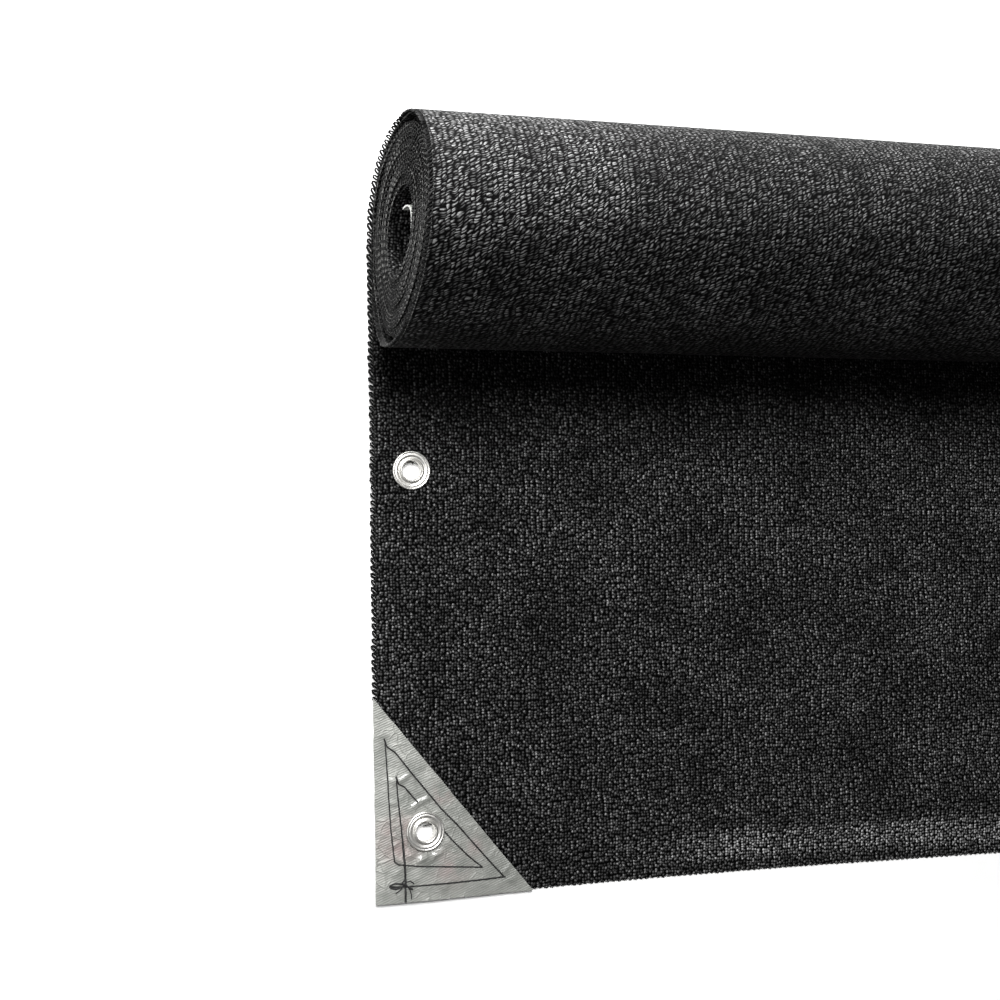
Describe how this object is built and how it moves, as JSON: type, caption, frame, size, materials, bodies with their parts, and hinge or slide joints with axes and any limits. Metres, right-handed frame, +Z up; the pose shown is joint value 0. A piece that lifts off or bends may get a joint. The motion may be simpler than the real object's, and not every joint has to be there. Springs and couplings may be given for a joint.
{
  "type": "privacy screen",
  "caption": "Black knitted net privacy screen, partly unrolled: a loose roll behind its flat free end, with sewn corner patches and metal eyelets for tying.",
  "frame": {"origin": "under the middle of the footprint, on the surface that the screen lies on", "axes": "+X along the roll, +Y from the free front edge to the roll, +Z up"},
  "size_m": [0.909, 0.3884, 0.1159],
  "materials": {
    "knit_net": "dense warp-knitted polyethylene tape, black, slightly shiny loops",
    "patch_sheet": "coated woven sheet, silver grey, creased, satin to glossy, sewn with black thread",
    "eyelet_metal": "pressed, bright satin"
  },
  "bodies": {
    "root": {"cloth": "knit_net", "edge_strip_left": "knit_net", "edge_strip_right": "knit_net", "corner_patch_left": "patch_sheet", "corner_patch_right": "patch_sheet", "inner_corner_tip": "patch_sheet", "eyelet_corner_left": "eyelet_metal", "eyelet_side_left": "eyelet_metal", "eyelet_corner_right": "eyelet_metal", "eyelet_side_right": "eyelet_metal"}
  },
  "joints": []
}
